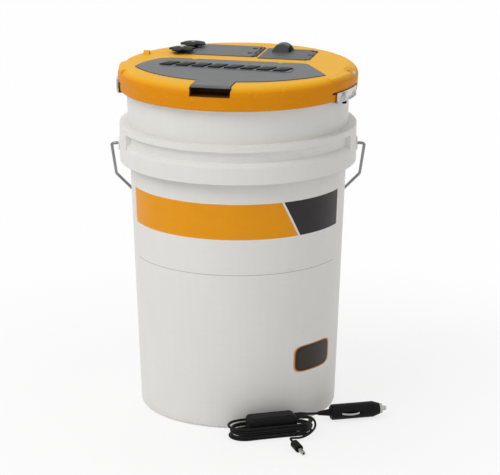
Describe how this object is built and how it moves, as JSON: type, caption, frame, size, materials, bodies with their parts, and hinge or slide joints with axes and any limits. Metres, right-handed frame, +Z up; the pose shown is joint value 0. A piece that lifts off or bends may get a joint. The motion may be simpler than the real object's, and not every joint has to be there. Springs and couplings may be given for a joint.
{
  "type": "aerated bait bucket",
  "caption": "Lidded round pail with a swing bail, a lid holding a bait door, battery box, air pump, down-tube and diffuser, two lid latches and a coiled power cord.",
  "frame": {"origin": "centre of the pail's flat base, on the floor", "axes": "+Z up along the pail's axis; -Y to the front of the lid, where the bait door's tab is; X through the two latch screws"},
  "size_m": [0.3896, 0.3781, 0.4744],
  "materials": {
    "pail": "satin moulded polyethylene",
    "lid_yellow": "satin moulded polyethylene",
    "door_grey": "satin",
    "black_plastic": "satin",
    "grip_plastic": "satin",
    "wire_steel": "zinc plated",
    "nickel": "plated",
    "seal_rubber": "matt",
    "tube_plastic": "satin",
    "stone": "sintered"
  },
  "bodies": {
    "base": {"bucket": "pail", "power_cord": "black_plastic", "jack_lead": "black_plastic", "converter_case_lower": "black_plastic", "converter_case_upper": "black_plastic", "vehicle_plug_body": "black_plastic", "vehicle_plug_ring": "nickel", "vehicle_plug_fuse": "nickel", "barrel_plug_body": "black_plastic", "barrel_plug_sleeve": "nickel"},
    "bail": {"bail_wire": "wire_steel"},
    "bail_grip": {"bail_grip": "grip_plastic"},
    "lid": {"lid_shell": "lid_yellow", "lid_gasket": "seal_rubber", "bait_door_pin": "wire_steel", "battery_door_pin": "wire_steel", "pump_door_pin": "wire_steel", "latch_screws": "wire_steel", "battery_box": "lid_yellow", "battery_contacts": "nickel", "battery_seal": "seal_rubber", "pump_case": "lid_yellow", "pump_pad": "seal_rubber", "pump_head_cover": "black_plastic", "pump_valve_plate": "black_plastic", "pump_diaphragm": "seal_rubber", "pump_frame": "black_plastic", "pump_swing_plate": "black_plastic", "pump_motor": "wire_steel", "pump_shelf": "black_plastic", "power_socket": "nickel", "switch_frame": "black_plastic", "air_tube": "tube_plastic", "air_stone": "stone"},
    "bait_door": {"bait_door": "door_grey", "bait_door_plate": "door_grey"},
    "battery_door": {"battery_door": "door_grey", "knob_front_stud": "wire_steel", "knob_rear_stud": "wire_steel"},
    "knob_front": {"knob_front": "black_plastic"},
    "knob_rear": {"knob_rear": "black_plastic"},
    "pump_door": {"pump_door": "door_grey"},
    "latch_right": {"latch_right_plate": "wire_steel", "latch_right_nub": "black_plastic"},
    "latch_left": {"latch_left_plate": "wire_steel", "latch_left_nub": "black_plastic"},
    "switch_rocker": {"switch_rocker": "black_plastic"},
    "rotor": {"motor_shaft": "wire_steel", "crank_hub": "black_plastic"},
    "vehicle_plug_tip": {"vehicle_plug_tip": "nickel"},
    "vehicle_plug_contact_left": {"vehicle_plug_contact_left": "nickel"},
    "vehicle_plug_contact_right": {"vehicle_plug_contact_right": "nickel"}
  },
  "joints": [
    {"name": "bail_swing", "type": "hinge", "parent": "base", "child": "bail", "pos_m": [0, 0, 0.355], "axis": [0.9744, 0.225, 0], "range_deg": [0, 259]},
    {"name": "bail_grip_spin", "type": "hinge", "parent": "bail", "child": "bail_grip", "pos_m": [-0.03442, 0.14909, 0.22887], "axis": [0.9744, 0.225, 0], "continuous": true},
    {"name": "lid_lift", "type": "slide", "parent": "base", "child": "lid", "axis": [0, 0, 1], "range_m": [0, 0.46]},
    {"name": "bait_door_hinge", "type": "hinge", "parent": "lid", "child": "bait_door", "pos_m": [0, 0.0135, 0.4595], "axis": [-1, 0, 0], "range_deg": [0, 90]},
    {"name": "battery_door_hinge", "type": "hinge", "parent": "lid", "child": "battery_door", "pos_m": [0.0105, 0.08, 0.4595], "axis": [0, 1, 0], "range_deg": [0, 100]},
    {"name": "knob_front_turn", "type": "hinge", "parent": "battery_door", "child": "knob_front", "pos_m": [-0.0896, 0.054, 0.463], "axis": [0, 0, 1], "range_deg": [0, 90]},
    {"name": "knob_rear_turn", "type": "hinge", "parent": "battery_door", "child": "knob_rear", "pos_m": [-0.0842, 0.094, 0.463], "axis": [0, 0, 1], "range_deg": [0, 90]},
    {"name": "pump_door_hinge", "type": "hinge", "parent": "lid", "child": "pump_door", "pos_m": [0.084, 0.072, 0.4595], "axis": [0, 1, 0], "range_deg": [0, 100]},
    {"name": "latch_right_turn", "type": "hinge", "parent": "lid", "child": "latch_right", "pos_m": [0.1515, 0, 0.44165], "axis": [0, 0, 1], "range_deg": [0, 75]},
    {"name": "latch_left_turn", "type": "hinge", "parent": "lid", "child": "latch_left", "pos_m": [-0.1515, 0, 0.44165], "axis": [0, 0, -1], "range_deg": [0, 75]},
    {"name": "switch_rock", "type": "hinge", "parent": "lid", "child": "switch_rocker", "pos_m": [0.064, 0.089, 0.453], "axis": [0, -1, 0], "range_deg": [0, 16]},
    {"name": "rotor_spin", "type": "hinge", "parent": "lid", "child": "rotor", "pos_m": [0.055, 0.0645, 0.43], "axis": [0, 0, 1], "continuous": true},
    {"name": "plug_tip_press", "type": "slide", "parent": "base", "child": "vehicle_plug_tip", "axis": [-0.8934, -0.4493, 0], "range_m": [0, 0.003], "stiffness_N_per_m": 400},
    {"name": "plug_contact_left_press", "type": "slide", "parent": "base", "child": "vehicle_plug_contact_left", "axis": [0.4493, -0.8934, 0], "range_m": [0, 0.0025], "stiffness_N_per_m": 400},
    {"name": "plug_contact_right_press", "type": "slide", "parent": "base", "child": "vehicle_plug_contact_right", "axis": [-0.4493, 0.8934, 0], "range_m": [0, 0.0025], "stiffness_N_per_m": 400}
  ]
}
